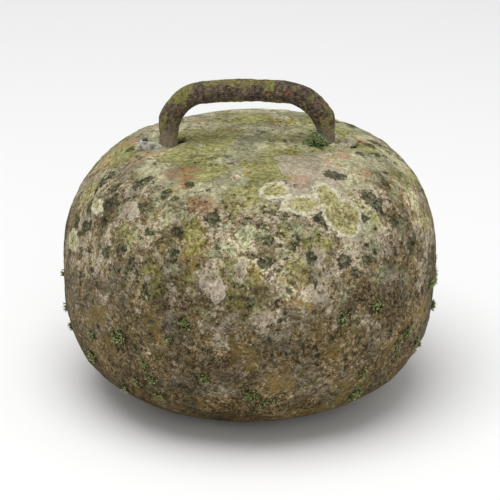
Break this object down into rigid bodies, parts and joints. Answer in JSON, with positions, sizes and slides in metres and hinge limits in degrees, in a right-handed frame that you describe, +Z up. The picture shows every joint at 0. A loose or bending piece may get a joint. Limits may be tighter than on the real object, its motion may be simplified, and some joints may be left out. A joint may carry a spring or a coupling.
{
  "type": "curling stone",
  "caption": "Old hewn-granite curling stone, a squat round boulder with a bent iron bar handle leaded into its crown.",
  "frame": {"origin": "centre of the flat sole, on the surface the stone rests on", "axes": "+Z up through the crown, X along the handle's grip from the left foot to the right foot, -Y towards the player's front"},
  "size_m": [0.28, 0.28, 0.2402],
  "materials": {
    "granite": "matte",
    "rusted_iron": "matte",
    "lead": "matte",
    "moss": "matte"
  },
  "bodies": {
    "root": {"stone_body": "granite", "handle": "rusted_iron", "lead_plug_left": "lead", "lead_plug_right": "lead"}
  },
  "joints": []
}
